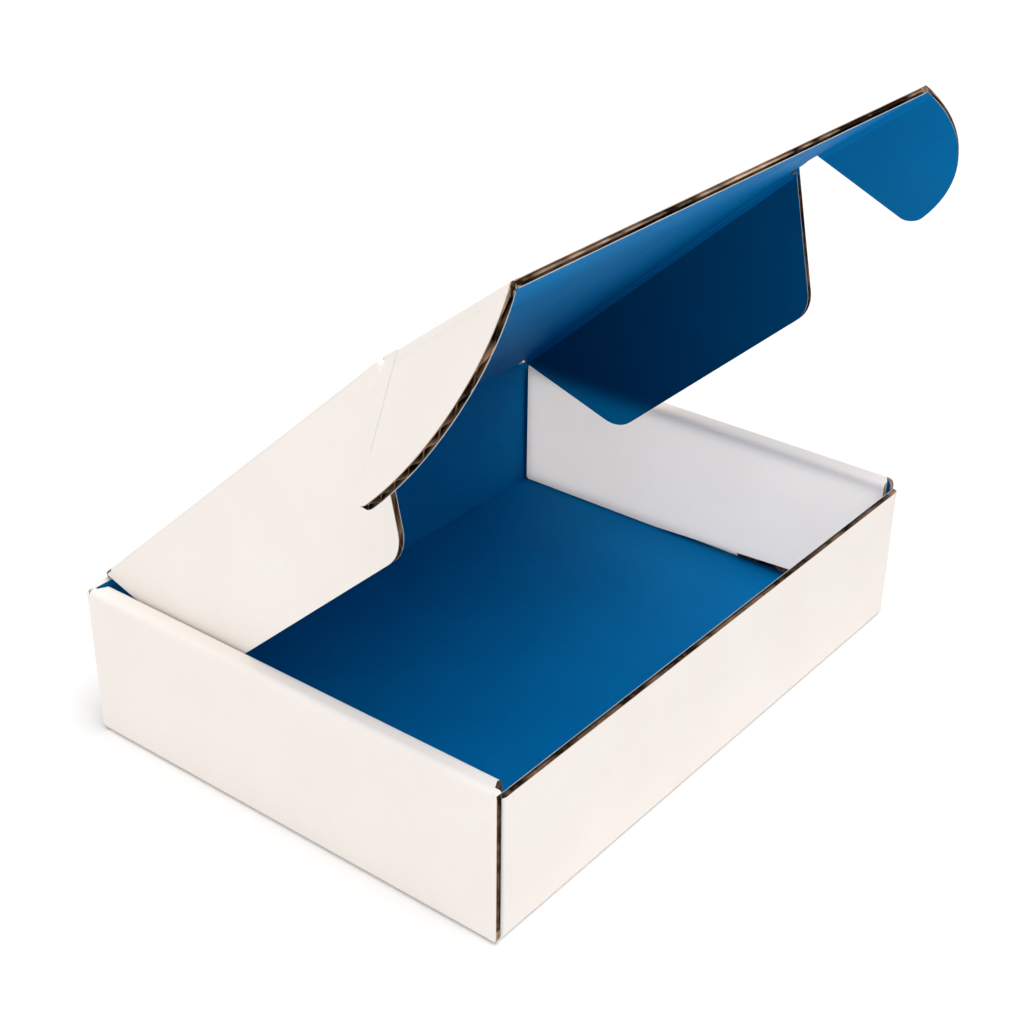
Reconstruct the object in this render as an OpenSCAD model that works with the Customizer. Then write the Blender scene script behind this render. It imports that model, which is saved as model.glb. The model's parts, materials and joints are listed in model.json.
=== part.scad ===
// Roll-end mailer box of single-wall corrugated board, lid standing part open.
// Origin: centre of the base's underside. X runs along the front wall, which faces -Y, and Z is up.

/* [Box] */
// Outside length, along the front wall
box_l = 310; // [260:1:360]
// Outside width, front to rear
box_w = 224; // [190:1:260]
// Height of the two double side walls
side_h = 73; // [60:1:95]
// Height of the front wall's raw top edge
front_h = 68.5; // [52:0.5:70]
// Height of the crease that the lid hangs on, at mid-thickness
rear_h = 75.5; // [68:0.5:77]

/* [Board] */
// Thickness of the board
board_t = 3; // [2.4:0.1:3.6]
// Thickness of each facing paper
liner_t = 0.35; // [0.25:0.05:0.5]
// Thickness of the wavy middle paper
medium_t = 0.3; // [0.2:0.05:0.4]
// Distance from one flute to the next
flute_pitch = 6.5; // [5.5:0.1:8]
// Length over which flutes are crushed flat beside a crease
crush_l = 4; // [3:0.5:6]

/* [Clearances] */
// Air between the layers inside a double side wall
layer_gap = 0.2; // [0.1:0.05:0.4]
// Air between a crease's bead and the board it turns in
crease_gap = 0.2; // [0.1:0.05:0.3]
// Air between a lid side flap and the side wall
flap_clear = 0.6; // [0.4:0.1:1.5]
// Air between a lock ear and the side flap it lies behind when shut
ear_clear = 0.4; // [0.3:0.1:1]
// Air between the tuck flap and the front wall when shut
tuck_clear = 0.4; // [0.3:0.1:1]
// Air under the tuck flap's free edge when shut
floor_clear = 0.5; // [0.3:0.1:2]
// How far the shut lid's top stands above the side walls
lid_rise = 0.8; // [0.6:0.1:2]

/* [Side walls] */
// Setback of the fold strip and inner panel from the box's front and rear faces
strip_setback = 5; // [4:0.5:9]
// Corner radius at the top of the outer panel, beyond the strip
wall_corner_r = 1.5; // [1:0.5:4.5]
// Corner radius at the foot of the outer panel
foot_corner_r = 4; // [2:0.5:6]
// How far the right outer panel's front end stands behind the front wall's face
right_setback = 4.5; // [0:0.5:5]
// Corner radius at the top of that front end
right_corner_r = 4.5; // [1:0.5:6]
// Air under the inner panel's raw bottom edge
inner_foot_gap = 0.6; // [0.5:0.1:2.5]
// How much higher the front end of the right inner panel stands, as it isn't pushed home
right_foot_rise = 7; // [0:0.5:12]
// Slant cut at the inner panel's lower corners
inner_chamfer = 1; // [0.5:0.5:8]
// How much thinner the lock tabs are pressed than the board
tab_press = 0.9; // [0.5:0.1:1.5]
// Length of the lock tab at the foot of each inner panel
tab_l = 50; // [30:1:80]
// Distance of the lock tab's middle from the box's middle, towards the front
tab_offset = 4; // [-10:1:10]
// Air round a lock tab in its slot
tab_clear = 0.25; // [0.15:0.05:0.5]
// How far the dust flaps' upper edges stand below the top of their front or rear wall
dust_flap_drop = 5; // [2:0.5:8]
// Length of the dust flaps inside the side walls
dust_flap_l = 60; // [30:1:80]
// Slant at the free ends of the dust flaps
dust_flap_taper = 8; // [2:1:15]

/* [Lid] */
// Angle of the lid above level, in degrees
lid_open = 42; // [0:0.5:90]
// Depth of the lid's side flaps
flap_d = 59.5; // [35:0.5:60]
// Slant of a side flap's two ends, in degrees
flap_slant = 30; // [15:1:36]
// Corner radius of the side flaps
flap_corner_r = 16; // [5:0.5:18]
// Distance of a side flap's rear end from the lid's crease
flap_rear = 1.5; // [1.5:0.5:12]
// Distance of a side flap's front end from the tuck flap's crease
flap_front = 7; // [6:0.5:16]
// Fold of a side flap from flat, in degrees
flap_fold = 90; // [90:1:110]
// Fold up to which a side flap swings inwards, in degrees
flap_fold_most = 125; // [95:1:130]

/* [Tuck flap and ears] */
// Fold of the tuck flap from flat, in degrees
tuck_fold = 4.5; // [0:0.5:90]
// Fold of the left lock ear from flat, in degrees
left_ear_fold = 39; // [0:0.5:90]
// Fold of the right lock ear from flat, in degrees
right_ear_fold = 48.5; // [0:0.5:90]
// Distance of an ear's straight edge from the tuck flap's crease
ear_start = 7; // [7:0.5:14]
// Length of an ear's straight edge
ear_edge_l = 57; // [40:1:58]
// Radius of an ear's tip
ear_tip_r = 6.5; // [5:0.5:12]
// Radius of an ear's long curve
ear_curve_r = 67; // [62:1:76]

/* [Hidden] */
$fn = 48;
outside_white = "#f2ebe4";
inside_blue = "#0b5c92";

half_l = box_l / 2;
half_w = box_w / 2;
half_t = board_t / 2;
big = 4 * board_t;

// layers of a double side wall, from outside to inside: outer panel, dust flap, inner panel
roll_w = 3 * board_t + 2 * layer_gap;
outer_in_x = half_l - board_t;
dust_out_x = outer_in_x - layer_gap;
dust_in_x = dust_out_x - board_t;
panel_out_x = half_l - roll_w + board_t;
tray_in_x = half_l - roll_w;
strip_end_y = half_w - strip_setback;
wall_in_y = half_w - board_t;
tab_rear = tab_l / 2 - tab_offset;
tab_t = board_t - tab_press;

// creases of the lid, flaps and ears, at the middle of the board
flap_axis_x = tray_in_x - flap_clear - half_t;
ear_axis_x = flap_axis_x - board_t - ear_clear;
hinge_y = half_w - half_t;
hinge_z = rear_h;
shut_y = -(wall_in_y - tuck_clear - half_t);
shut_z = side_h - half_t + lid_rise;
lid_len = sqrt(pow(hinge_y - shut_y, 2) + pow(hinge_z - shut_z, 2));
tuck_len = shut_z - board_t - floor_clear;

// one half-wave of air between the middle paper and a facing, as [across, through] points
half_space = half_t - liner_t;
swing = half_space - medium_t / 2;
function wave_low(a) = medium_t / 2 - swing * cos(360 * a / flute_pitch);
cell_steps = [-0.41, -0.3, -0.15, 0, 0.15, 0.3, 0.41];
function cell(mid, side) = concat(
    [for (k = cell_steps) [mid + k * flute_pitch, side * wave_low(k * flute_pitch)]],
    [[mid + cell_steps[6] * flute_pitch, side * half_space], [mid + cell_steps[0] * flute_pitch, side * half_space]]);

// air cells of a stretch of board, whose edge at zero cuts through both a high and a low cell
module cells(first, last) {
    for (i = [first : last]) {
        polygon(cell((i - 0.25) * flute_pitch, 1));
        polygon(cell((i + 0.25) * flute_pitch, -1));
    }
}

// points of a rounded corner b between a and c
function unit(v) = v / norm(v);
function arc_corner(a, b, c, r, n = 7) =
    let (u = unit(a - b), v = unit(c - b), half = acos(u * v) / 2)
    let (reach = r / tan(half), mid = b + unit(u + v) * r / sin(half))
    let (p = b + u * reach - mid, q = b + v * reach - mid, turn = 180 - 2 * half)
    let (way = p[0] * q[1] - p[1] * q[0] > 0 ? 1 : -1)
    [for (k = [0 : n]) let (w = way * turn * k / n)
        mid + [p[0] * cos(w) - p[1] * sin(w), p[0] * sin(w) + p[1] * cos(w)]];

// a shape in the [y, z] plane, pushed along X about the middle
module along_x(length) {
    rotate([90, 0, 90]) linear_extrude(length, center = true) children();
}

// a shape in the [x, z] plane, pushed along -Y from y = 0
module along_minus_y(length) {
    rotate([90, 0, 0]) linear_extrude(length) children();
}

// what a crease takes off the board that it turns in: the crease lies on X, the flap towards -Y, outside up
module crease_seat(length, most) {
    reach = (half_t + 1) * tan(most / 2);
    along_x(length) {
        circle(half_t + crease_gap);
        translate([-big, -big / 2]) square([big, big]);
        polygon([[0, 0], [reach + crease_gap, -half_t - 1], [-1, -half_t - 1], [-1, 0]]);
    }
}

// the bevel inside the crease, on the flap's own edge
module crease_bevel(length, most) {
    reach = (half_t + 1) * tan(most / 2);
    along_x(length + 2) polygon([[0, 0], [-reach, -half_t - 1], [2, -half_t - 1], [2, 0]]);
}

// a flap of the outline given, turned about its crease on X
module creased_flap(from, to, most) {
    difference() {
        translate([0, 0, -half_t]) linear_extrude(board_t) children();
        translate([(from + to) / 2, 0, 0]) crease_bevel(to - from, most);
    }
    translate([(from + to) / 2, 0, 0]) along_x(to - from) circle(half_t);
}

// quarter round of one board thickness, the outside of a right-angled fold
module fold_round() {
    intersection() {
        circle(board_t);
        translate([-board_t, -board_t]) square(board_t);
    }
}

// section of the outer panel in the [x, z] plane, at the left, with its fold to the base
module outer_section() {
    translate([-outer_in_x, board_t]) fold_round();
    translate([-half_l, board_t]) square([board_t, side_h - board_t]);
}

// section of the fold strip and the inner panel that hangs from it, the strip reaching into the outer panel
module inner_section() {
    translate([-outer_in_x - half_t, side_h - board_t]) square([half_t + outer_in_x - panel_out_x, board_t]);
    translate([-panel_out_x, side_h - board_t]) rotate(180) fold_round();
    translate([-panel_out_x, board_t]) square([board_t, side_h - 2 * board_t]);
}

// what the strip's outer fold takes off the outer panel's top
module strip_round() {
    translate([-half_l - 1, side_h - board_t]) difference() {
        square(board_t + 1);
        translate([board_t + 1, 0]) circle(board_t);
    }
}

// the two rounded corners of the outer panel at an end whose y is given, from the foot up
function end_corners(y, r) = concat(
    arc_corner([0, 0], [y, 0], [y, side_h], foot_corner_r),
    arc_corner([y, 0], [y, side_h], [0, side_h], r));

// outline of the outer panel, in the [y, z] plane, by its front end's setback and corner radius
module outer_outline(setback, r) {
    front = end_corners(setback - half_w, r);
    rear = end_corners(half_w, wall_corner_r);
    polygon(concat(front, [for (i = [len(rear) - 1 : -1 : 0]) rear[i]]));
}

// height of an inner panel's foot at y, which rises from the lock tab's rear end to the panel's front end
function foot_z(y, rise) = board_t + inner_foot_gap + rise * max(0, tab_rear - y) / (tab_rear + strip_end_y);

// outline of the inner panel's foot, in the [y, z] plane
module inner_outline(rise) {
    e = strip_end_y - inner_chamfer;
    up = inner_chamfer + strip_setback;
    foot = [for (y = [-e, tab_rear, e]) [y, foot_z(y, rise)]];
    front = [[-half_w, side_h + 1], [-half_w, foot_z(-e, rise) + up]];
    rear = [[half_w, foot_z(e, rise) + up], [half_w, side_h + 1]];
    polygon(concat(front, foot, rear));
}

// how far the strip reaches at mid-thickness of the outer panel, on its way to where that panel's corner begins
function strip_reach(setback, r) =
    let (corner = min(half_w - setback - r, strip_end_y + 2 * (wall_in_y - layer_gap - strip_end_y)))
    strip_end_y + (corner - strip_end_y) * (outer_in_x + half_t - panel_out_x) / (half_l - panel_out_x);

// plan of the strip and inner panel at the left, the strip's ends cut on the slant from crease to crease
module inner_plan(setback, r) {
    e = strip_end_y;
    far = outer_in_x + half_t;
    polygon([[-tray_in_x + 1, -e], [-panel_out_x, -e], [-far, -strip_reach(setback, r)],
        [-far, strip_reach(0, wall_corner_r)], [-panel_out_x, e], [-tray_in_x + 1, e]]);
}

// the open flutes along a raw upright edge at y = 0, board towards +Y
module upright_edge_cells(low, high) {
    translate([0, 0, low]) linear_extrude(high - low) rotate(90) cells(0, 0);
}

// side wall at the left, by the rise of its inner panel and its front end's setback and corner radius
module side_wall(rise, setback, r) {
    difference() {
        union() {
            intersection() {
                union() {
                    rotate([90, 0, 0]) linear_extrude(box_w, center = true) outer_section();
                    translate([-outer_in_x - half_t, -wall_in_y, half_t]) cube([half_t + 0.3, 2 * wall_in_y, half_t]);
                }
                along_x(2 * box_l) outer_outline(setback, r);
            }
            intersection() {
                rotate([90, 0, 0]) linear_extrude(box_w, center = true) inner_section();
                along_x(2 * box_l) inner_outline(rise);
                linear_extrude(2 * side_h) inner_plan(setback, r);
            }
            lock_tab(rise);
        }
        rotate([90, 0, 0]) linear_extrude(2 * (half_w - wall_corner_r), center = true) strip_round();
        translate([-half_l + half_t, setback - half_w, 0]) upright_edge_cells(board_t + crush_l, side_h - r - half_t);
        translate([-half_l + half_t, half_w, 0]) mirror([0, 1, 0])
            upright_edge_cells(board_t + crush_l, side_h - wall_corner_r - half_t);
        for (m = [0, 1]) mirror([0, m, 0]) translate([-panel_out_x + half_t, -strip_end_y, 0])
            upright_edge_cells(board_t + inner_foot_gap - 1, side_h - board_t - crush_l);
    }
}

// tab that steps out from the inner panel's foot and goes down through the base, which keeps the wall shut
module lock_tab(rise) {
    from = tab_rear - tab_l;
    to = tab_rear;
    low = foot_z(from, rise);
    high = foot_z(to, rise);
    translate([-panel_out_x - tab_t, 0, 0]) rotate([90, 0, 90]) {
        linear_extrude(tab_t + board_t) polygon([[from, low], [to, high], [to, high + board_t], [from, low + board_t]]);
        linear_extrude(tab_t) polygon([[from, low + board_t], [from, board_t], [from + board_t, layer_gap],
            [to - board_t, layer_gap], [to, board_t], [to, high + board_t]]);
    }
}

// slot in the base under a lock tab
module tab_slot() {
    translate([-panel_out_x - tab_t - tab_clear, tab_rear - tab_l - tab_clear, -1])
        cube([tab_t + 2 * tab_clear, tab_l + 2 * tab_clear, board_t + 2]);
}

// plan of an end wall and the dust flaps at its ends, drawn at the front
module end_plan() {
    back = -wall_in_y + dust_flap_l;
    difference() {
        union() {
            translate([-dust_in_x, -half_w]) square([2 * dust_in_x, half_w + back]);
            translate([-dust_out_x, -wall_in_y]) square([2 * dust_out_x, dust_flap_l]);
            for (m = [-1, 1]) translate([m * dust_in_x, -wall_in_y]) circle(board_t);
        }
        translate([-dust_in_x, -wall_in_y]) square([2 * dust_in_x, dust_flap_l + 1]);
    }
}

// outline of an end wall and its dust flaps in the [y, z] plane, from the fold at the foot up
module end_side(height) {
    top = min(height - dust_flap_drop, side_h - board_t - layer_gap);
    foot = board_t + layer_gap;
    back = -wall_in_y + dust_flap_l;
    slant = dust_flap_taper / 2;
    intersection() {
        translate([-wall_in_y, board_t]) circle(board_t);
        translate([-half_w, 0]) square([board_t, 2 * board_t]);
    }
    translate([-half_w, board_t]) square([board_t, height - board_t]);
    polygon([[-wall_in_y - half_t, foot], [back - slant, foot], [back, foot + dust_flap_taper],
        [back - slant, top - slant], [-strip_end_y + half_t, top], [-wall_in_y - half_t, top]]);
}

// front or rear wall with its dust flaps, which turn in between the layers of the side walls
module end_wall(height, open_top) {
    difference() {
        intersection() {
            linear_extrude(height) end_plan();
            along_x(2 * half_l) end_side(height);
        }
        if (open_top) translate([0, -half_w + half_t, height]) {
            along_x(2 * (dust_in_x - crush_l)) rotate(90) mirror([1, 0]) cells(0, 0);
        }
    }
}

// base, whose upper half runs on into the folds at the front and rear walls' feet
module base() {
    difference() {
        union() {
            translate([-outer_in_x, -wall_in_y, 0]) cube([2 * outer_in_x, 2 * wall_in_y, board_t]);
            translate([-dust_in_x, -wall_in_y - half_t, half_t]) cube([2 * dust_in_x, 2 * wall_in_y + board_t, half_t]);
        }
        for (m = [0, 1]) mirror([m, 0, 0]) tab_slot();
    }
}

module tray() {
    color(outside_white) union() {
        base();
        side_wall(0, 0, wall_corner_r);
        mirror([1, 0, 0]) side_wall(right_foot_rise, right_setback, right_corner_r);
        end_wall(front_h, true);
        mirror([0, 1, 0]) end_wall(rear_h - half_t - crease_gap, false);
    }
}

// frames of the lid and tuck flap, with the crease on X, the panel towards -Y and the outside up
module on_lid() {
    translate([0, hinge_y, hinge_z]) rotate([-lid_open, 0, 0]) children();
}

module on_tuck() {
    on_lid() translate([0, -lid_len, 0]) rotate([tuck_fold, 0, 0]) children();
}

// the left flap's crease in the lid's frame, and the left ear's in the tuck flap's
module on_flap_crease() {
    translate([-flap_axis_x, -lid_len / 2, 0]) rotate([0, 0, -90]) children();
}

module on_ear_crease() {
    translate([-ear_axis_x, 0, 0]) rotate([0, 0, -90]) children();
}

flap_from = -lid_len / 2 + flap_rear;
flap_to = lid_len / 2 - flap_front;

module lid_panel() {
    color(outside_white) on_lid() difference() {
        union() {
            difference() {
                translate([-flap_axis_x, -lid_len, -half_t]) cube([2 * flap_axis_x, lid_len, board_t]);
                crease_bevel(2 * flap_axis_x, 90);
                mirror([0, 0, 1]) crease_bevel(2 * flap_axis_x, 90);
            }
            along_x(2 * flap_axis_x) circle(half_t);
        }
        translate([0, -lid_len, 0]) crease_seat(2 * flap_axis_x + 2, 90);
        for (m = [0, 1]) mirror([m, 0, 0]) on_flap_crease()
            translate([(flap_from + flap_to) / 2, 0, 0]) crease_seat(flap_to - flap_from + 2 * crease_gap, flap_fold_most);
    }
}

// outline of a side flap, its crease on X, front end towards +X
module flap_outline() {
    lean = flap_d * tan(flap_slant);
    a = [flap_from, 0];
    b = [flap_from + lean, -flap_d];
    c = [flap_to - lean, -flap_d];
    d = [flap_to, 0];
    polygon(concat([a], arc_corner(a, b, c, flap_corner_r), arc_corner(b, c, d, flap_corner_r), [d]));
}

module side_flap() {
    count = floor((flap_to - flap_from) / flute_pitch);
    rotate([flap_fold, 0, 0]) difference() {
        creased_flap(flap_from, flap_to, flap_fold_most) flap_outline();
        translate([flap_from, -crush_l, 0]) along_minus_y(flap_d) cells(1, count);
    }
}

module left_side_flap() {
    color(inside_blue) on_lid() on_flap_crease() side_flap();
}

module right_side_flap() {
    color(inside_blue) on_lid() mirror([1, 0, 0]) on_flap_crease() side_flap();
}

module tuck_flap() {
    color(inside_blue) on_tuck() difference() {
        creased_flap(-ear_axis_x, ear_axis_x, 90)
            translate([-ear_axis_x, -tuck_len]) square([2 * ear_axis_x, tuck_len]);
        for (m = [0, 1]) mirror([m, 0, 0]) on_ear_crease()
            translate([(ear_start + tuck_len) / 2, 0, 0]) crease_seat(tuck_len - ear_start + 2 * crease_gap, 90);
        translate([0, -tuck_len, 0]) along_x(2 * (ear_axis_x - crush_l)) cells(0, 0);
    }
}

// centre of an ear's long curve, which meets the crease's end and runs on into the tip
tip_mid = [ear_start + ear_tip_r, ear_edge_l];
ear_end = [tuck_len, 0];
ear_span = norm(ear_end - tip_mid);
ear_foot = (pow(ear_curve_r - ear_tip_r, 2) - pow(ear_curve_r, 2) + pow(ear_span, 2)) / (2 * ear_span);
ear_way = (ear_end - tip_mid) / ear_span;
curve_mid = tip_mid + ear_way * ear_foot
    - [-ear_way[1], ear_way[0]] * sqrt(pow(ear_curve_r - ear_tip_r, 2) - pow(ear_foot, 2));
tip_angle = atan2(tip_mid[1] - curve_mid[1], tip_mid[0] - curve_mid[0]);

// outline of an ear as [along the crease, out from it]: straight edge, round tip, long curve back to the crease
module ear_outline() {
    end_angle = atan2(ear_end[1] - curve_mid[1], ear_end[0] - curve_mid[0]);
    tip = [for (k = [0 : 8]) let (w = 180 + (tip_angle - 180) * k / 8) tip_mid + ear_tip_r * [cos(w), sin(w)]];
    curve = [for (k = [1 : 20]) let (w = tip_angle + (end_angle - tip_angle) * k / 20)
        curve_mid + ear_curve_r * [cos(w), sin(w)]];
    mirror([0, 1]) polygon(concat([[ear_start, 0]], tip, curve));
}

module lock_ear(fold) {
    count = floor((tuck_len - ear_start) / flute_pitch);
    rotate([fold, 0, 0]) difference() {
        creased_flap(ear_start, tuck_len, 90) ear_outline();
        translate([ear_start, -crush_l, 0]) along_minus_y(ear_edge_l + 2 * ear_tip_r) cells(0, count);
    }
}

module left_lock_ear() {
    color(outside_white) on_tuck() on_ear_crease() lock_ear(left_ear_fold);
}

module right_lock_ear() {
    color(inside_blue) on_tuck() mirror([1, 0, 0]) on_ear_crease() lock_ear(right_ear_fold);
}

tray();
lid_panel();
left_side_flap();
right_side_flap();
tuck_flap();
left_lock_ear();
right_lock_ear();
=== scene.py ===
# %% [markdown]
# # A corrugated mailer box, standing open
# One die-cut sheet of corrugated board, warm white on the outside and printed blue on the inside. The side
# walls are rolled over two dust flaps and tabbed into the base; the lid, its side flaps, the tuck flap and
# two locking ears swing. The CAD frame already holds every panel with its folds and its cut flutes, so
# nothing is modelled twice here. This script finds which faces of the sheet are white, blue, raw or hollow,
# makes the papers for them, and lays the bent liners over the creases that move.

import bpy
import json
import math
import numpy as np
from mathutils import Matrix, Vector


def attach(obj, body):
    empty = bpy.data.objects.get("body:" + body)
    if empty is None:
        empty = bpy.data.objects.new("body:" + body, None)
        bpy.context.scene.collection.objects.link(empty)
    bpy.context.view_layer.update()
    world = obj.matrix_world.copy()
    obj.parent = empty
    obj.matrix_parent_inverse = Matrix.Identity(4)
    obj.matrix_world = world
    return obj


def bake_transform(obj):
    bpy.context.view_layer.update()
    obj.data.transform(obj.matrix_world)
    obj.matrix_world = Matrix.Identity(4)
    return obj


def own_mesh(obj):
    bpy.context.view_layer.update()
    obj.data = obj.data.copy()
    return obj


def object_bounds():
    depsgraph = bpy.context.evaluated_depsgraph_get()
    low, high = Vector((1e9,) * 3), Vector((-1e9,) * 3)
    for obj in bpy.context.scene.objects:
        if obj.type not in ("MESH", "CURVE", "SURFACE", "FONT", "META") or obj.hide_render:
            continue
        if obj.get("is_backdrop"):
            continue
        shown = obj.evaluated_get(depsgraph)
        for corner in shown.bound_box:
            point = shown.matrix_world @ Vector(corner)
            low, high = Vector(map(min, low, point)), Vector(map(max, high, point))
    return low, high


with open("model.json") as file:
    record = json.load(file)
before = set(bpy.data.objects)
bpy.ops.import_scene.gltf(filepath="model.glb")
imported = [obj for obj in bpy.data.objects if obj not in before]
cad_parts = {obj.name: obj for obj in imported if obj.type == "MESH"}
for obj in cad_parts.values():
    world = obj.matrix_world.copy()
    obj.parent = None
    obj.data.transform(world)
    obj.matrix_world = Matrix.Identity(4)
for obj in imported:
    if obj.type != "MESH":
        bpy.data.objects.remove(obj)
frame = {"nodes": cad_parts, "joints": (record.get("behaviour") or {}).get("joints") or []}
scene = bpy.context.scene
node = frame["nodes"]
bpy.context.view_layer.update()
print("panels in the frame:", sorted(node))

# %% [markdown]
# ## Sizes of the board
# Lengths are in metres. The board is 3 mm thick: two liners with a wave of fluting between them, one wave
# every 6.5 mm. The tray's walls stand on fold rounds with the board's own thickness as radius, as a scored
# crease does.

# %% Sizes
BOARD = 0.003
HALF = BOARD / 2
FLUTE = 0.0065
WALL_X = 0.155
WALL_Y = 0.112
SIDE_TOP = 0.073
PANEL_IN_X = 0.1456
DUST_IN_X = 0.1488
TAB_END = 0.030
SKIN = 0.00004
print("board, mm:", 1000 * BOARD, "flutes in the base:", int(2 * WALL_Y / FLUTE))

# %% [markdown]
# ## Where each panel looks
# Every swinging panel has an outer direction, the one its white liner faces. The lid's comes from the angle
# it stands open at, the tuck flap's from its own small fold, and each ear's from turning the tuck flap's
# about the ear crease. The hinge lines are read from the frame's joints, so that dress and motion can't
# disagree.

# %% Directions
joint = {j["name"]: j for j in frame["joints"]}
hinge_at = {name: np.array(j["pos_m"], float) for name, j in joint.items()}
hinge_axis = {name: np.array(j["axis"], float) for name, j in joint.items()}


def unit(v):
    """v divided by its own length, the root of the sum of its squares."""
    v = np.asarray(v, float)
    return v / np.linalg.norm(v)


def turned(v, axis, angle):
    """v turned about an axis: its part along the axis stays, and the rest goes round by cosine and sine."""
    v, k = np.asarray(v, float), unit(axis)
    return v * math.cos(angle) + np.cross(k, v) * math.sin(angle) + k * np.dot(k, v) * (1 - math.cos(angle))


SIDEWAYS = np.array([1.0, 0.0, 0.0])
lid_along = unit(hinge_axis["left_flap_crease"])
lid_out = np.cross(SIDEWAYS, lid_along) * -1
lid_out = lid_out * np.sign(lid_out[2])
tuck_along = -unit(hinge_axis["left_ear_crease"])
tuck_out = np.cross(SIDEWAYS, tuck_along)
tuck_out = tuck_out * np.sign(tuck_out[2])
left_fold = math.radians(joint["left_ear_crease"]["range_deg"][1])
right_fold = math.radians(joint["right_ear_crease"]["range_deg"][1])
left_ear_out = turned(tuck_out, hinge_axis["left_ear_crease"], -left_fold)
right_ear_out = turned(tuck_out, hinge_axis["right_ear_crease"], -right_fold)
print("lid stands open by", round(math.degrees(math.atan2(lid_along[2], -lid_along[1])), 1), "degrees")
folds = [round(math.degrees(fold), 1) for fold in (left_fold, right_fold)]
print("left and right ear folded by", folds, "degrees")

# %% [markdown]
# ## Telling the sheet's faces apart
# On the real sheet a place is white, blue or raw by which side of the board it lies on. A flat panel is
# easy: a triangle that looks outwards and lies half a board from the middle is white, one that looks
# inwards is blue, and what is left was cut by the die: raw paper at the cut itself, and hollow where it
# lies inside an open flute, whose paper is painted dark there as painted shade. Each triangle corner
# also keeps two numbers for the papers' recipes: how far through the board it lies, from -1 at the blue
# liner to +1 at the white one, and how far across the flutes.

# %% Faces of the flat panels
WHITE, BLUE, RAW, HOLLOW_PAINTED_SHADE = 0, 1, 2, 3
CELL_HALF = 0.80
FACING, AT_FACE = 0.8, 0.96


def corners_of(panel):
    """The corners of a panel's triangles, as an array of triangles by corners by coordinates."""
    mesh = panel.data
    place = np.empty(len(mesh.vertices) * 3)
    mesh.vertices.foreach_get("co", place)
    index = np.empty(len(mesh.loops), int)
    mesh.loops.foreach_get("vertex_index", index)
    return place.reshape(-1, 3)[index].reshape(-1, 3, 3)


def normals_of(tri):
    """The unit normals of triangles: the cross product of two sides, divided by its length."""
    cross = np.cross(tri[:, 1] - tri[:, 0], tri[:, 2] - tri[:, 0])
    return cross / np.maximum(np.linalg.norm(cross, axis=1), 1e-15)[:, None]


def keep(panel, kind, through, across):
    """Stores a panel's kinds of face as material numbers, and the corners' two numbers as attributes."""
    mesh = panel.data
    for name, values in (("through", through), ("across", across)):
        layer = mesh.attributes.new(name, "FLOAT", "CORNER")
        layer.data.foreach_set("value", np.ascontiguousarray(values, np.float32).ravel())
    mesh.polygons.foreach_set("material_index", kind.astype(np.int32))


def flat_panel(name, point, out, across_flutes):
    """A flat panel's kinds of face, from the way its triangles look and how far from its middle they lie.

    The distance is the dot product with out, taken from a point of the middle plane, in half boards.
    """
    tri = corners_of(node[name])
    normal = normals_of(tri)
    through = (tri - point) @ out / HALF
    middle = through.mean(1)
    facing = normal @ out
    kind = np.full(len(tri), RAW)
    kind[(facing > FACING) & (middle > AT_FACE)] = WHITE
    kind[(facing < -FACING) & (middle < -AT_FACE)] = BLUE
    # faces inside an open flute get the near-black flute paper: painted shade for the hollow
    kind[(kind == RAW) & (np.abs(through).max(1) < CELL_HALF)] = HOLLOW_PAINTED_SHADE
    print(name, "white, blue, raw and hollow triangles:", [int((kind == k).sum()) for k in range(4)])
    return kind, through, tri @ across_flutes


kinds = {
    "lid_panel": flat_panel("lid_panel", hinge_at["lid_hinge"], lid_out, lid_along),
    "tuck_flap": flat_panel("tuck_flap", hinge_at["tuck_crease"], tuck_out, tuck_along),
    "left_side_flap": flat_panel("left_side_flap", hinge_at["left_flap_crease"], -SIDEWAYS, lid_along),
    "right_side_flap": flat_panel("right_side_flap", hinge_at["right_flap_crease"], SIDEWAYS, lid_along),
    "left_lock_ear": flat_panel("left_lock_ear", hinge_at["left_ear_crease"], left_ear_out, tuck_along),
    "right_lock_ear": flat_panel("right_lock_ear", hinge_at["right_ear_crease"], right_ear_out, tuck_along),
}

# %% [markdown]
# ## Liners pressed over the cuts
# Near a corner the soft liner doesn't stop at the cut, but is pressed or stretched over it. So some cut
# faces take a liner's colour. The edges at the left of the tuck crease and the left side flap's front
# corner are white. The right side flap's front corner and the crease's end at the right of the hinge are
# blue.

# %% Pressed liners
# where the pressed liner starts and ends on each panel's left edge, along the panel from the tuck crease
EDGE_RUNS = {"lid_panel": (lid_along, -0.009, 0.002), "tuck_flap": (tuck_along, -0.002, 0.0078)}
for name, (way, low, high) in EDGE_RUNS.items():
    tri = corners_of(node[name])
    run = (tri.mean(1) - hinge_at["tuck_crease"]) @ way
    beside = (normals_of(tri)[:, 0] < -0.5) & (tri[:, :, 0].max(1) < 0) & (run > low) & (run < high)
    kind = kinds[name][0]
    kind[beside & (kind == RAW)] = WHITE
    print(name, "edge triangles under the pressed liner:", int(beside.sum()))

# how far each side flap's front corner reaches back along the lid, and down from the tuck crease
CORNER_RUN = 0.016
CORNER_DEPTH = {"left_side_flap": 0.008, "right_side_flap": 0.0065}
for name, depth in CORNER_DEPTH.items():
    from_crease = corners_of(node[name]).mean(1) - hinge_at["tuck_crease"]
    at_corner = (from_crease @ lid_along > -CORNER_RUN) & (from_crease @ lid_out > -depth)
    kind = kinds[name][0]
    if name == "left_side_flap":
        kind[at_corner & (kind != BLUE)] = WHITE
    else:
        kind[at_corner & (kind >= RAW)] = BLUE
    print(name, "triangles at its front corner:", int(at_corner.sum()))

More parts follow.
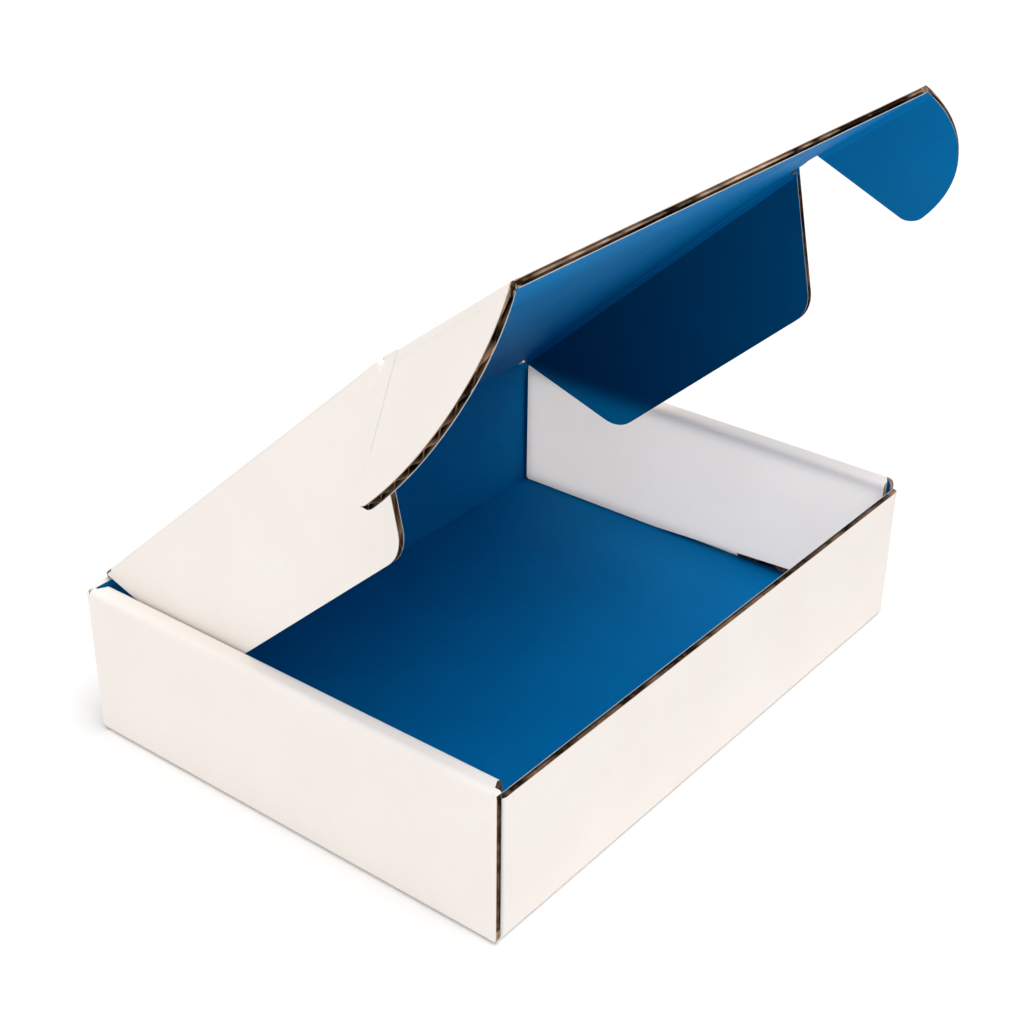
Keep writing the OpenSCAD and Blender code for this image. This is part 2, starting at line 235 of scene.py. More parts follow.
# the piece of the hinge crease under the stretched liner, and how far from the crease it reaches
STRETCH_FROM, STRETCH_TO, STRETCH_REACH = 0.136, 0.14345, 0.010
tri = corners_of(node["lid_panel"])
middle = tri.mean(1)
near_hinge = np.linalg.norm(middle[:, 1:] - hinge_at["lid_hinge"][1:], axis=1) < STRETCH_REACH
at_end = (middle[:, 0] > STRETCH_FROM) & (middle[:, 0] < STRETCH_TO) & near_hinge
kind = kinds["lid_panel"][0]
stretched = at_end & (kind >= RAW) & (normals_of(tri) @ lid_out < 0.5)
kind[stretched] = BLUE
print("lid_panel triangles under the stretched liner:", int(stretched.sum()))

# %% [markdown]
# ## The tray's faces
# The tray is one sheet folded many times, so its faces are told by the plane or fold round they lie on. The
# white liner runs under the base, up the outer walls, over the strip along the top and down the inner
# panels. The blue liner is the base's top, the insides of the front and rear walls, and all that the rolled
# walls hide.

# %% Faces of the tray
tri = corners_of(node["tray"])
normal = normals_of(tri)
mid = tri.mean(1)
ax, ay, z = np.abs(mid[:, 0]), np.abs(mid[:, 1]), mid[:, 2]
nx, ny, nz = normal[:, 0] * np.sign(mid[:, 0]), normal[:, 1] * np.sign(mid[:, 1]), normal[:, 2]
NEAR, ROUND_NEAR = 0.00006, 0.00012
TAB_TOP = 0.012
FOLD_X, FOLD_Y, STRIP_Z = WALL_X - BOARD, WALL_Y - BOARD, SIDE_TOP - BOARD
PANEL_OUT_X, DUST_OUT_X = PANEL_IN_X + BOARD, DUST_IN_X + BOARD


def on_round(a, b):
    """True where the two distances a and b from a fold's axis put a face on the board's outer fold round."""
    return np.abs(np.hypot(a, b) - BOARD) < ROUND_NEAR


# nx and ny are counted outwards from the box's middle
# beyond 0.9 a face is square to that axis, and within 0.5 it runs more along it
across_x, across_y = np.abs(ny) < 0.5, np.abs(nx) < 0.5
white = (nz < -0.9) & (z < NEAR)
white |= (nx > 0.9) & (ax > WALL_X - NEAR)
white |= (ny > 0.9) & (ay > WALL_Y - NEAR) & (ax < DUST_OUT_X + NEAR)
white |= (nz > 0.9) & (z > SIDE_TOP - NEAR)
white |= (nx < -0.9) & (np.abs(ax - PANEL_IN_X) < NEAR)
white |= (nx > 0.9) & (np.abs(ax - DUST_OUT_X) < NEAR)
white |= across_x & (ax > FOLD_X) & (z < BOARD) & (nx > 0) & on_round(ax - FOLD_X, z - BOARD)
white |= across_x & (ax > FOLD_X) & (z > STRIP_Z) & (nx > 0) & on_round(ax - FOLD_X, z - STRIP_Z)
white |= across_x & (ax < PANEL_OUT_X) & (z > STRIP_Z) & (nx < 0) & on_round(ax - PANEL_OUT_X, z - STRIP_Z)
white |= across_y & (ay > FOLD_Y) & (z < BOARD) & (ny > 0) & on_round(ay - FOLD_Y, z - BOARD)
upright = (np.abs(nz) < 0.5) & (nx > 0)
white |= upright & (ax > DUST_IN_X) & (ay > FOLD_Y) & on_round(ax - DUST_IN_X, ay - FOLD_Y)
blue = (nz > 0.9) & (np.abs(z - BOARD) < NEAR) & (ax < FOLD_X) & (ay < FOLD_Y)
blue |= (nx < -0.9) & (np.abs(ax - FOLD_X) < NEAR)
blue |= (nz < -0.9) & (np.abs(z - STRIP_Z) < NEAR)
blue |= (nx > 0.9) & (np.abs(ax - PANEL_OUT_X) < NEAR)
blue |= (ny < -0.9) & (np.abs(ay - FOLD_Y) < NEAR)
blue |= (nx < -0.9) & (np.abs(ax - DUST_IN_X) < NEAR)
in_tab = (ax > PANEL_OUT_X - NEAR) & (ax < DUST_OUT_X) & (ay < TAB_END) & (z < TAB_TOP)
white |= in_tab & (nx < -0.9)
blue |= in_tab & (nx > 0.9)
tray_kind = np.where(white, WHITE, np.where(blue, BLUE, RAW))

# which panel of the folded sheet a raw triangle belongs to, and how far through the board its corners lie
cx, cy, cz = np.abs(tri[:, :, 0]), np.abs(tri[:, :, 1]), tri[:, :, 2]
in_wall = (ay > FOLD_Y - NEAR) & (ax < DUST_OUT_X + NEAR)
in_outer = (ax > FOLD_X - NEAR) & ~in_wall
in_dust = (ax > DUST_IN_X - NEAR) & (ax < FOLD_X) & (z < STRIP_Z) & (z > BOARD) & ~in_wall
in_strip = (ax > PANEL_OUT_X) & (z > STRIP_Z - NEAR) & ~in_outer & ~in_wall
in_panel = (ax < PANEL_OUT_X + NEAR) & (z > BOARD) & ~in_wall & ~in_strip
tray_through = (BOARD / 2 - cz) / HALF
zones = (
    (in_wall, (cy - FOLD_Y) / HALF - 1),
    (in_outer, np.where(cz > STRIP_Z, np.hypot(cx - FOLD_X, cz - STRIP_Z), cx - FOLD_X) / HALF - 1),
    (in_dust, (cx - DUST_IN_X) / HALF - 1),
    (in_strip, (cz - STRIP_Z) / HALF - 1),
    (in_panel, (PANEL_OUT_X - cx) / HALF - 1),
)
for zone, value in zones:
    tray_through = np.where(zone[:, None], value, tray_through)
# faces inside the tray's open flutes get the near-black flute paper: painted shade for the hollows
tray_kind[(tray_kind == RAW) & (np.abs(tray_through).max(1) < CELL_HALF)] = HOLLOW_PAINTED_SHADE

# the blue faces in the gap under the right inner panel take the near-black paper: painted shade in the slit
SLIT_TOP, SLIT_END = 0.016, 0.108
slit = (mid[:, 0] > PANEL_OUT_X - NEAR) & (z > BOARD - NEAR) & (z < SLIT_TOP) & (ay < SLIT_END)
slit &= tray_kind == BLUE
tray_kind[slit] = HOLLOW_PAINTED_SHADE

# the left strip's cut front end is pressed white at its top, and below that painted dark: painted shade down
# in the corner
STRIP_END_X, STRIP_END_Y, DARK_FROM, PALE_FROM = -0.143, -0.102, 0.064, 0.0722
strip_end = (mid[:, 0] < STRIP_END_X) & (mid[:, 1] < STRIP_END_Y) & (tray_kind >= RAW)
tray_kind[strip_end & (z > PALE_FROM)] = WHITE
tray_kind[strip_end & (z > DARK_FROM) & (z < PALE_FROM)] = HOLLOW_PAINTED_SHADE
print("dark slit and strip end triangles:", int(slit.sum()), int(strip_end.sum()))

tray_across = np.where(((in_wall | in_dust) & (z > BOARD))[:, None], cz, tri[:, :, 1])
kinds["tray"] = (tray_kind, tray_through, tray_across)
print("tray: white, blue, raw and hollow triangles:", [int((tray_kind == k).sum()) for k in range(4)])

# %% [markdown]
# ## The papers
# The white liner is uncoated and warm: mottled a little at the size of a hand, speckled finely, and very
# slightly ribbed where it lies on the flutes. The blue liner has the same paper under a satin ink that
# covers nearly evenly. On the lid and the ears it is made a little darker, and on the side flaps' insides
# much darker: painted shade, deeper than the shade that the light there makes. The raw edge shows both
# liners as thin lines with crushed brown fluting between them, streaked with near-black painted shade of
# the flute voids. The open flutes are painted dark as painted shade, apart from the tuck flap's, which are
# torn flat and pale in places.

# %% Paper recipes


def material(name):
    """A new material with its shader, its node list and a function that links two sockets."""
    mat = bpy.data.materials.new(name)
    mat.use_nodes = True
    nodes = mat.node_tree.nodes
    return mat, nodes["Principled BSDF"], nodes, mat.node_tree.links.new


def noise(nodes, link, vector, scale, detail, rough=0.55):
    """A noise pattern in Object coordinates with so many lumps a metre, from 0 to 1."""
    n = nodes.new("ShaderNodeTexNoise")
    n.inputs["Scale"].default_value = scale
    n.inputs["Detail"].default_value = detail
    n.inputs["Roughness"].default_value = rough
    link(vector, n.inputs["Vector"])
    return n.outputs["Fac"]


def spread(nodes, link, value, low, high, to_low, to_high):
    """value moved from the range low..high to the range to_low..to_high, and held within it."""
    n = nodes.new("ShaderNodeMapRange")
    for k, v in zip(("From Min", "From Max", "To Min", "To Max"), (low, high, to_low, to_high)):
        n.inputs[k].default_value = v
    link(value, n.inputs["Value"])
    return n.outputs["Result"]


def math_of(nodes, link, kind, a, b):
    """One sum of two numbers, either of which may be a socket."""
    n = nodes.new("ShaderNodeMath")
    n.operation = kind
    for k, v in enumerate((a, b)):
        if isinstance(v, (int, float)):
            n.inputs[k].default_value = v
        else:
            link(v, n.inputs[k])
    return n.outputs[0]


def mixed(nodes, link, share, a, b):
    """Two colours mixed by a share, where each may be a colour or a socket."""
    n = nodes.new("ShaderNodeMix")
    n.data_type = "RGBA"
    link(share, n.inputs["Factor"])
    for key, v in (("A", a), ("B", b)):
        sock = [s for s in n.inputs if s.name == key and s.type == "RGBA"][0]
        if isinstance(v, tuple):
            sock.default_value = (*v, 1)
        else:
            link(v, sock)
    return [s for s in n.outputs if s.type == "RGBA"][0]


def attribute(nodes, name):
    """One of the numbers kept in the mesh."""
    n = nodes.new("ShaderNodeAttribute")
    n.attribute_name = name
    return n.outputs["Fac"]


def ribs(nodes, link):
    """The faint washboard that the flutes press into a liner: a cosine across them, one wave a flute."""
    turns = math_of(nodes, link, "MULTIPLY", attribute(nodes, "across"), 2 * math.pi / FLUTE)
    return math_of(nodes, link, "COSINE", turns, 0.0)


def bump(nodes, link, height, distance, strength, shader):
    """Turns a height pattern into a relief so many metres deep."""
    n = nodes.new("ShaderNodeBump")
    n.inputs["Distance"].default_value = distance
    n.inputs["Strength"].default_value = strength
    link(height, n.inputs["Height"])
    link(n.outputs["Normal"], shader.inputs["Normal"])


def white_liner():
    """Warm white uncoated paper: broad mottling, fine specks of fibre and a breath of the flutes."""
    mat, shader, nodes, link = material("warm_white_liner")
    place = nodes.new("ShaderNodeTexCoord").outputs["Object"]
    cloud = spread(nodes, link, noise(nodes, link, place, 26, 4), 0.3, 0.7, 0, 1)
    speck = spread(nodes, link, noise(nodes, link, place, 900, 2), 0.62, 0.78, 0, 0.35)
    paper = mixed(nodes, link, cloud, (0.866, 0.806, 0.756), (0.890, 0.834, 0.790))
    link(mixed(nodes, link, speck, paper, (0.79, 0.70, 0.61)), shader.inputs["Base Color"])
    shader.inputs["Roughness"].default_value = 0.78
    shader.inputs["Specular IOR Level"].default_value = 0.25
    fibre = noise(nodes, link, place, 1400, 3, 0.6)
    height = math_of(nodes, link, "ADD", math_of(nodes, link, "MULTIPLY", ribs(nodes, link), 0.5), fibre)
    bump(nodes, link, height, 0.00003, 0.5, shader)
    return mat


def blue_liner(name, depth):
    """Blue ink on the same paper: nearly even, a little lighter on the flutes' tops, with a faint shine.

    depth is the share of the tray's ink colour that is kept: 1 on the tray, less where shade is painted into
    the ink.
    """
    mat, shader, nodes, link = material(name)
    place = nodes.new("ShaderNodeTexCoord").outputs["Object"]
    cloud = spread(nodes, link, noise(nodes, link, place, 30, 5), 0.3, 0.7, 0, 1)
    deeper, paler = (0.0001, 0.164 * depth, 0.420 * depth), (0.0004, 0.182 * depth, 0.460 * depth)
    ink = mixed(nodes, link, cloud, deeper, paler)
    crest = spread(nodes, link, ribs(nodes, link), 0.2, 1.0, 0, 0.05)
    worn = spread(nodes, link, noise(nodes, link, place, 1100, 2), 0.66, 0.8, 0, 0.12)
    ink = mixed(nodes, link, crest, ink, (0.004, 0.23 * depth, 0.53 * depth))
    link(mixed(nodes, link, worn, ink, (0.02, 0.28 * depth, 0.56 * depth)), shader.inputs["Base Color"])
    gloss = spread(nodes, link, noise(nodes, link, place, 60, 3), 0.3, 0.7, 0.60, 0.70)
    link(gloss, shader.inputs["Roughness"])
    shader.inputs["IOR"].default_value = 1.3
    shader.inputs["Specular IOR Level"].default_value = 0.12
    shader.inputs["Specular Tint"].default_value = (0.03, 0.45, 1.0, 1.0)
    waves = math_of(nodes, link, "MULTIPLY", ribs(nodes, link), 0.6)
    height = math_of(nodes, link, "ADD", waves, noise(nodes, link, place, 1500, 2))
    bump(nodes, link, height, 0.00003, 0.4, shader)
    return mat


def raw_edge():
    """The cut through the board: a line for each liner, and brown fluting between, streaked with painted
    shade.
    """
    mat, shader, nodes, link = material("cut_kraft_edge_and_flute_shade")
    place = nodes.new("ShaderNodeTexCoord").outputs["Object"]
    through = attribute(nodes, "through")
    # the streaks' pattern is slow along the board and quick through its thickness
    scaled = nodes.new("ShaderNodeVectorMath")
    scaled.operation = "MULTIPLY"
    scaled.inputs[1].default_value = (70, 70, 70)
    link(place, scaled.inputs[0])
    shifted = nodes.new("ShaderNodeCombineXYZ")
    link(math_of(nodes, link, "MULTIPLY", through, 2.6), shifted.inputs["Z"])
    both = nodes.new("ShaderNodeVectorMath")
    both.operation = "ADD"
    link(scaled.outputs[0], both.inputs[0])
    link(shifted.outputs[0], both.inputs[1])
    streak = noise(nodes, link, both.outputs[0], 1.0, 4, 0.6)
    share = spread(nodes, link, streak, 0.38, 0.62, 0, 1)
    # the near-black end of the streaks is painted shade of the flute voids, the brown end the kraft itself
    brown = mixed(nodes, link, share, (0.020, 0.009, 0.005), (0.56, 0.39, 0.26))
    grain = spread(nodes, link, noise(nodes, link, place, 700, 3), 0.35, 0.7, 0, 0.35)
    brown = mixed(nodes, link, grain, brown, (0.15, 0.085, 0.048))
    inner_line = spread(nodes, link, through, -0.80, -0.90, 0, 1)
    outer_line = spread(nodes, link, through, 0.78, 0.90, 0, 0.8)
    colour = mixed(nodes, link, outer_line, brown, (0.43, 0.29, 0.19))
    link(mixed(nodes, link, inner_line, colour, (0.50, 0.54, 0.57)), shader.inputs["Base Color"])
    shader.inputs["Roughness"].default_value = 0.9
    shader.inputs["Specular IOR Level"].default_value = 0.15
    height = math_of(nodes, link, "ADD", streak, noise(nodes, link, place, 900, 3))
    bump(nodes, link, height, 0.0002, 0.6, shader)
    return mat


def flute_hollow(name, patch, pale):
    """The inside of an open flute: brown fluting paper, painted nearly black in places as painted shade, and
    pale in others.

    patch is the pattern's number of lumps a metre, and pale the colour of its lightest places.
    """
    mat, shader, nodes, link = material(name)
    place = nodes.new("ShaderNodeTexCoord").outputs["Object"]
    tone = spread(nodes, link, noise(nodes, link, place, patch, 3), 0.38, 0.66, 0, 1)
    link(mixed(nodes, link, tone, (0.014, 0.007, 0.004), pale), shader.inputs["Base Color"])
    shader.inputs["Roughness"].default_value = 0.95
    shader.inputs["Specular IOR Level"].default_value = 0.1
    bump(nodes, link, noise(nodes, link, place, 900, 3), 0.0001, 0.5, shader)
    return mat


papers = [
    white_liner(),
    blue_liner("blue_printed_liner", 1.0),
    raw_edge(),
    flute_hollow("open_flute_painted_shade", 110, (0.23, 0.145, 0.09)),
]
# the lid's, the ears' and the side flaps' blue is a darker copy of the tray's ink: painted shade
flap_papers_painted_shade = list(papers)
flap_papers_painted_shade[BLUE] = blue_liner("side_flap_blue_liner_painted_shade", 0.50)
lid_papers_painted_shade = list(papers)
lid_papers_painted_shade[BLUE] = blue_liner("lid_blue_liner_painted_shade", 0.86)
tuck_papers = list(papers)
# the tuck's open flutes: pale kraft in places, painted shade in the rest
tuck_papers[HOLLOW_PAINTED_SHADE] = flute_hollow("torn_flute_kraft_and_painted_shade", 42, (0.66, 0.47, 0.33))
own_papers = {
    "left_side_flap": flap_papers_painted_shade,
    "right_side_flap": flap_papers_painted_shade,
    "lid_panel": lid_papers_painted_shade,
    "left_lock_ear": lid_papers_painted_shade,
    "right_lock_ear": lid_papers_painted_shade,
    "tuck_flap": tuck_papers,
}
for name, (kind, through, across) in kinds.items():
    node[name].data.materials.clear()
    for paper in own_papers.get(name, papers):
        node[name].data.materials.append(paper)
    keep(node[name], kind, through, across)
print("papers:", [p.name for p in papers])

# %% [markdown]
# ## The liners over the moving creases
# A scored crease doesn't break the sheet: both liners run on across it and bend. The frame has to leave a
# thin gap there, as stiff bodies turn about a line, so each moving crease gets two skins, one of each
# liner. A skin lies on the parent panel, goes round the bead of the crease and lies on the child panel.

# %% Crease skins
FACE_POINTS, FILLET_POINTS, STATIONS = 4, 13, 25


def fold_profile(toward_parent, toward_child, side_parent, side_child, reach, bend):
    """Points across a crease, as distances from its axis: along the parent, round a fillet, along the child.

    The sides are the panels' unit normals on the skin's side, and bend is the fillet's radius. The two
    face lines meet where both distances from the axis are half a board, and the fillet touches them
    bend * tan(half the fold) away from there.
    """
    level = HALF + SKIN
    fold = math.acos(float(np.clip(np.dot(side_parent, side_child), -1, 1)))
    opening_out = np.dot(side_parent, toward_child) < 0
    if fold < 1e-6:
        tangent, corner = 0.0, level * side_parent
    else:
        corner = level * (side_parent + side_child) / (1 + math.cos(fold))
        tangent = bend * math.tan(fold / 2)
    start = corner + toward_parent * tangent
    end = corner + toward_child * tangent
    steps = np.linspace(0, 1, FILLET_POINTS)[:, None]
    if fold < 1e-6:
        arc = start[None] + 0 * steps
    else:
        sign = 1.0 if opening_out else -1.0
        centre = start - sign * side_parent * bend
        a, b = start - centre, end - centre
        arc = (np.sin((1 - steps) * fold) * a + np.sin(steps * fold) * b) / math.sin(fold) + centre
    run = np.linspace(1, 0, FACE_POINTS + 1)[:-1, None]
    first = start + (level * side_parent + toward_parent * reach - start) * run
    last = end + (level * side_child + toward_child * reach - end) * run[::-1]
    return np.vstack([first, arc, last])


def facing_quads(grid, out):
    """The four-cornered faces of a grid of points, wound so that the first one's normal looks along out.

    The normal is the cross product of a step along a row and a step to the next row.
    """
    rows, cols = grid.shape[:2]
    first = (np.arange(rows - 1)[:, None] * cols + np.arange(cols - 1)[None]).ravel()
    quads = np.stack([first, first + 1, first + cols + 1, first + cols], 1)
    normal = np.cross(grid[0, 1] - grid[0, 0], grid[1, 0] - grid[0, 0])
    return quads if np.dot(normal, out) > 0 else quads[:, ::-1]


def crease_skin(name, paper, at, along, ends, profile, out):
    """A grid of the profile's points by stations along the crease.
    """
    stations = np.linspace(ends[0], ends[1], STATIONS)
    grid = at + stations[:, None, None] * along + profile[None]
    quads = facing_quads(grid, out)
    mesh = bpy.data.meshes.new(name)
    mesh.from_pydata(grid.reshape(-1, 3).tolist(), [], quads.tolist())
    mesh.polygons.foreach_set("use_smooth", np.ones(len(quads), bool))
    steps = np.linalg.norm(np.diff(profile, axis=0), axis=1)
    across = np.tile(np.cumsum(np.r_[0, steps]), STATIONS)
    layer = mesh.attributes.new("across", "FLOAT", "POINT")
    layer.data.foreach_set("value", across.astype(np.float32))
    mesh.materials.append(papers[paper])
    skin = bpy.data.objects.new(name, mesh)
    scene.collection.objects.link(skin)
    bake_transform(skin)
    print(name, "spans", round(1000 * (ends[1] - ends[0]), 1), "mm")


REACH = 0.0042
OUTER_BEND, INNER_BEND = HALF, 0.0008
LID_HALF = joint["right_flap_crease"]["pos_m"][0]
EAR_X = joint["right_ear_crease"]["pos_m"][0]
UP = np.array([0.0, 0.0, 1.0])
REAR = np.array([0.0, 1.0, 0.0])
LID_LEN = float(np.linalg.norm(hinge_at["tuck_crease"] - hinge_at["lid_hinge"]))
# where the skins start and end along each crease, so that they stay clear of the walls and of each other
HINGE_ENDS = (0.0035 - LID_HALF, LID_HALF - 0.0035)
TUCK_ENDS = (-EAR_X, EAR_X)
LEFT_FLAP_ENDS = (0.0055, LID_LEN - 0.007)
RIGHT_FLAP_ENDS = (0.0055, LID_LEN - 0.0105)
EAR_ENDS = (0.007, 0.0688)
left_ear_way = turned(-SIDEWAYS, hinge_axis["left_ear_crease"], -left_fold)
right_ear_way = turned(SIDEWAYS, hinge_axis["right_ear_crease"], -right_fold)


def crease(name, hinge, along, ends, toward, sides):
    """Both skins of one crease, the white one on the panels' outer sides and the blue one on their inner.

    toward holds the directions from the crease into the parent and the child, and sides their outer normals.
    """
    at = hinge_at[hinge]
    outer = fold_profile(*toward, *sides, REACH, OUTER_BEND)
    inner = fold_profile(*toward, -sides[0], -sides[1], REACH, INNER_BEND)
    crease_skin(name + "_white_liner", WHITE, at, along, ends, outer, sides[0])
    crease_skin(name + "_blue_liner", BLUE, at, along, ends, inner, -sides[0])


crease("hinge", "lid_hinge", SIDEWAYS, HINGE_ENDS,
       (-UP, lid_along), (REAR, lid_out))
crease("tuck", "tuck_crease", SIDEWAYS, TUCK_ENDS,
       (-lid_along, tuck_along), (lid_out, tuck_out))
crease("left_flap", "left_flap_crease", lid_along, LEFT_FLAP_ENDS,
       (SIDEWAYS, -lid_out), (lid_out, -SIDEWAYS))
crease("right_flap", "right_flap_crease", lid_along, RIGHT_FLAP_ENDS,
       (-SIDEWAYS, -lid_out), (lid_out, SIDEWAYS))
crease("left_ear", "left_ear_crease", tuck_along, EAR_ENDS,
       (SIDEWAYS, left_ear_way), (tuck_out, left_ear_out))
crease("right_ear", "right_ear_crease", tuck_along, EAR_ENDS,
       (-SIDEWAYS, right_ear_way), (tuck_out, right_ear_out))

# %% [markdown]
# ## The soft corner at the left of the tuck crease
# The frame's stiff flap and ear each end 7 mm short of the tuck crease, so that they can swing freely. On
# the real sheet the crushed board there is soft and reaches up to the crease, and the two overlap into one
# white corner. Two short webs of board carry the flap's end and the ear's edge on: each is one profile,
# outer liner, pressed edge and inner liner, swept down from the crease while its free edge runs back into
# the stiff board.

# %% Soft corner
WEB_ROWS, WEB_LEVEL = 24, HALF + 3 * SKIN


def corner_web(name, body, at, along, way, out, depth, free, join):
    """A strip of board with four points for each depth below a crease: two outside and two inside.

    free and join give the positions of the web's two ends along the crease, as functions of the depth.
    """
    d = np.linspace(depth[0], depth[1], WEB_ROWS)
    ends = np.stack([join(d), free(d), free(d), join(d)], 1)
    sides = np.array([WEB_LEVEL, WEB_LEVEL, -WEB_LEVEL, -WEB_LEVEL])
    grid = at + ends[..., None] * along + d[:, None, None] * way + sides[None, :, None] * out
    quads = facing_quads(grid, out)
    mesh = bpy.data.meshes.new(name)
    mesh.from_pydata(grid.reshape(-1, 3).tolist(), [], quads.tolist())
    for paper in papers:
        mesh.materials.append(paper)
    kind = np.tile([WHITE, WHITE, BLUE], WEB_ROWS - 1)
    mesh.polygons.foreach_set("material_index", kind.astype(np.int32))
    for key, value in (("through", np.tile(sides / HALF, WEB_ROWS)), ("across", ends.ravel())):
        layer = mesh.attributes.new(key, "FLOAT", "POINT")
        layer.data.foreach_set("value", value.astype(np.float32))
    web = bpy.data.objects.new(name, mesh)
    scene.collection.objects.link(web)
    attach(web, body)
    reach = 1000 * float(np.abs(free(d) - join(d)).max())
    print(name, "reaches up to", round(reach, 1), "mm from its join")
    return web


# depths are taken from the crease, and places along it from its start
FLAP_DEPTH, FLAP_TIP, FLAP_RUN = (-HALF, 0.036), 0.0008, 0.80
FLAP_JOIN, FLAP_SLANT = 0.008, 0.577
EAR_DEPTH, EAR_TIP, EAR_JOIN = (-0.0012, 0.040), -0.0010, 0.008
EAR_STRAIGHT, EAR_CURVED, EAR_FALL = 0.012, 0.028, 0.008


def flap_free(d):
    """The flap's soft end: it starts just past the tuck crease and runs back by FLAP_RUN times the depth."""
    return LID_LEN + FLAP_TIP - FLAP_RUN * np.maximum(d, 0)


def flap_join(d):
    """The stiff flap's end, 1 mm inside it: it slants back by the tangent of 30 degrees times the depth."""
    return LID_LEN - FLAP_JOIN - FLAP_SLANT * np.maximum(d, 0)


def ear_free(d):
    """The ear's soft edge: straight at first, then falling back by the square of the share of its curve."""
    return EAR_TIP + EAR_FALL * np.clip((d - EAR_STRAIGHT) / EAR_CURVED, 0, 1) ** 2


def ear_join(d):
    """The stiff ear's straight edge, 1 mm inside it."""
    return np.full_like(d, EAR_JOIN)


flap_web = corner_web("left_flap_soft_end", "left_flap", hinge_at["left_flap_crease"], lid_along,
                      -lid_out, -SIDEWAYS, FLAP_DEPTH, flap_free, flap_join)
ear_web = corner_web("left_ear_soft_edge", "left_ear", hinge_at["left_ear_crease"], tuck_along,
                     left_ear_way, left_ear_out, EAR_DEPTH, ear_free, ear_join)
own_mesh(flap_web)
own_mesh(ear_web)

# %% [markdown]
# ## Camera
# The photograph looks down on the box from its left front with a longish lens. The place and angles were
# worked out from the box's corners in the picture. The small upward shift keeps the upright edges as they
# are there.

# %% Camera
CAMERA_AT = (-0.5600022, -0.434067, 0.4801221)
LENS_MM, SENSOR_MM = 63.6207, 36.0
PICTURE_PX, SHIFT_PX = 1024.0, 48.0
yaw, pitch, roll = math.radians(52.0247), math.radians(-30.7871), math.radians(0.5762)
forward = np.array([math.sin(yaw) * math.cos(pitch), math.cos(yaw) * math.cos(pitch), math.sin(pitch)])
level = np.array([math.cos(yaw), -math.sin(yaw), 0.0])
above = np.cross(level, forward)
pose = np.eye(4)
pose[:3, 0] = level * math.cos(roll) + above * math.sin(roll)
pose[:3, 1] = above * math.cos(roll) - level * math.sin(roll)
pose[:3, 2] = -forward
pose[:3, 3] = CAMERA_AT
lens = bpy.data.cameras.new("photo_view")
lens.sensor_width = SENSOR_MM
lens.lens = LENS_MM
lens.shift_y = SHIFT_PX / PICTURE_PX
lens.clip_start, lens.clip_end = 0.01, 100.0
camera = bpy.data.objects.new("photo_view", lens)
scene.collection.objects.link(camera)
camera.matrix_world = Matrix(pose.tolist())
scene.camera = camera
distance = float(np.linalg.norm(pose[:3, 3]))
print("camera stands", round(distance, 2), "m away with a", round(lens.lens, 1), "mm lens")

# %% [markdown]
# ## Floor and light
# The picture was taken in a light tent: hardly any shade on the white walls, and the inside darkens towards
# the hinge because the lid keeps the light out. So the sky is an even white, with a wide soft sun for the
# tent's lit roof and one broad light from the left. The right inner panel is evenly grey in the picture
# while the side flap beside it is nearly black, so a narrow fill, which the camera can't see, lights that
# panel alone. The floor is plain and pale.

# %% Floor and light
FLOOR, FLOOR_Z = 20.0, -0.0004
SKY = 0.52
floor_mesh = bpy.data.meshes.new("floor")
corners = [(x * FLOOR, y * FLOOR, FLOOR_Z) for x, y in ((-1, -1), (1, -1), (1, 1), (-1, 1))]
floor_mesh.from_pydata(corners, [], [(0, 1, 2, 3)])
floor = bpy.data.objects.new("floor", floor_mesh)
scene.collection.objects.link(floor)
floor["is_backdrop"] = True
floor_paper, shader, nodes, link = material("pale_floor")
place = nodes.new("ShaderNodeTexCoord").outputs["Object"]
tone = spread(nodes, link, noise(nodes, link, place, 3, 3), 0.3, 0.7, 0, 1)
link(mixed(nodes, link, tone, (0.955, 0.955, 0.955), (0.965, 0.965, 0.963)), shader.inputs["Base Color"])
shader.inputs["Roughness"].default_value = 0.9
shader.inputs["Specular IOR Level"].default_value = 0.1
floor_mesh.materials.append(floor_paper)

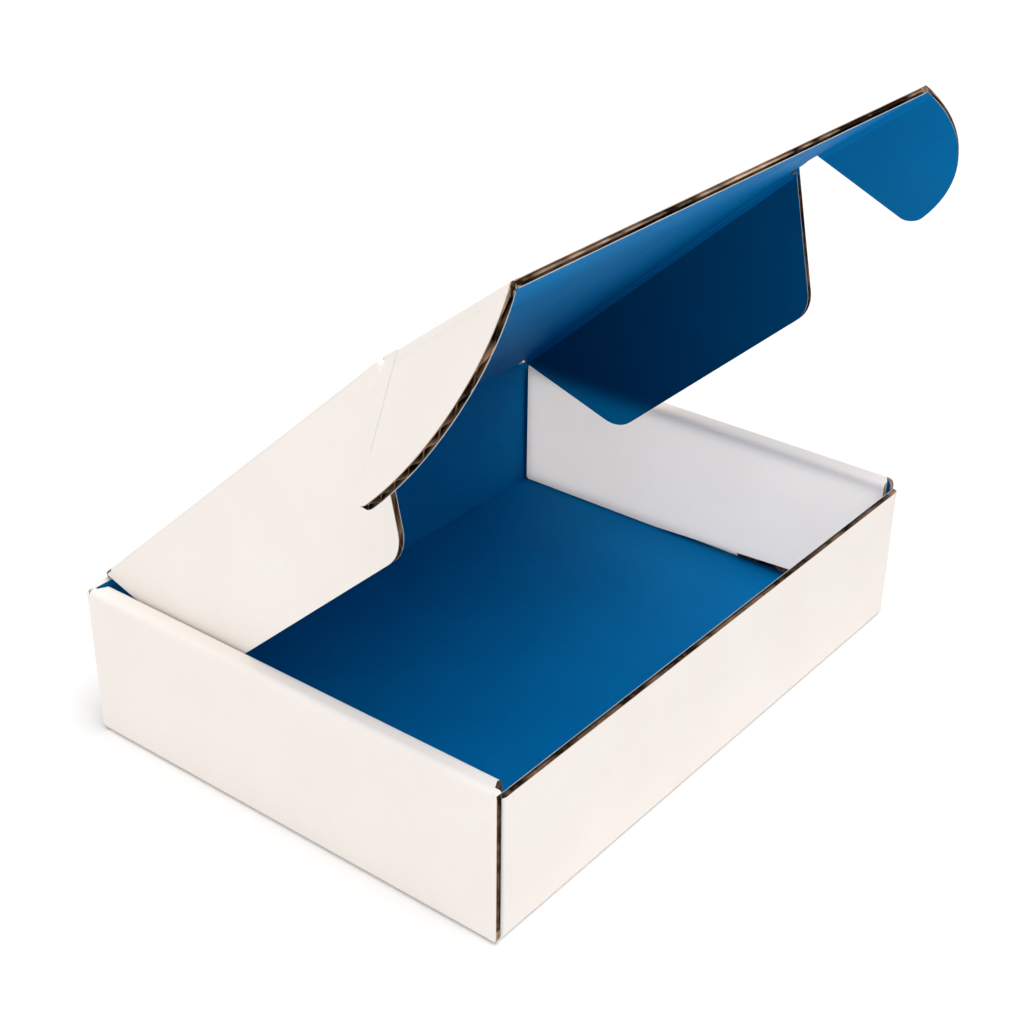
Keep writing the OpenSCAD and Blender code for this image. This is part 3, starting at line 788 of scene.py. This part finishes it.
sky = bpy.data.worlds.new("light_tent")
scene.world = sky
sky.use_nodes = True
sky.node_tree.nodes["Background"].inputs["Color"].default_value = (1, 1, 1, 1)
sky.node_tree.nodes["Background"].inputs["Strength"].default_value = SKY


def soft_light(name, size, power, place, aim):
    """A square soft light at a place, turned to look at aim."""
    data = bpy.data.lights.new(name, "AREA")
    data.size = size
    data.energy = power
    light = bpy.data.objects.new(name, data)
    scene.collection.objects.link(light)
    back = unit(np.subtract(place, aim))
    side = unit(np.cross(UP, back))
    turn = np.eye(4)
    turn[:3, 0], turn[:3, 1], turn[:3, 2], turn[:3, 3] = side, np.cross(back, side), back, place
    light.matrix_world = Matrix(turn.tolist())
    return light


def tent_roof(strength, spread_angle, place):
    """The lit roof of the tent as a wide sun: the same everywhere on the floor, with soft shadows."""
    data = bpy.data.lights.new("tent_roof", "SUN")
    data.energy = strength
    data.angle = math.radians(spread_angle)
    light = bpy.data.objects.new("tent_roof", data)
    scene.collection.objects.link(light)
    back = unit(place)
    side = unit(np.cross(REAR, back))
    turn = np.eye(4)
    turn[:3, 0], turn[:3, 1], turn[:3, 2] = side, np.cross(back, side), back
    light.matrix_world = Matrix(turn.tolist())


FILL_Z, FILL_LENGTH, FILL_HEIGHT, FILL_SPREAD = 0.037, 0.224, 0.066, 9
tent_roof(2.05, 50, (0.0, -0.31, 0.95))
soft_light("left_light", 0.9, 3.6, (-1.5, -0.25, 0.45), (0, 0, 0.06))
inner_fill = soft_light("far_wall_fill", 0.055, 0.029, (0.02, 0.0, FILL_Z), (PANEL_IN_X, 0.0, FILL_Z))
inner_fill.data.color = (1.0, 0.975, 0.93)
inner_fill.data.shape = "RECTANGLE"
inner_fill.data.size = FILL_LENGTH
inner_fill.data.size_y = FILL_HEIGHT
inner_fill.data.spread = math.radians(FILL_SPREAD)
inner_fill.visible_camera = False
scene.view_settings.view_transform = "Standard"

low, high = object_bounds()
print("dressed size, mm:", [round(1000 * (b - a), 1) for a, b in zip(low, high)])
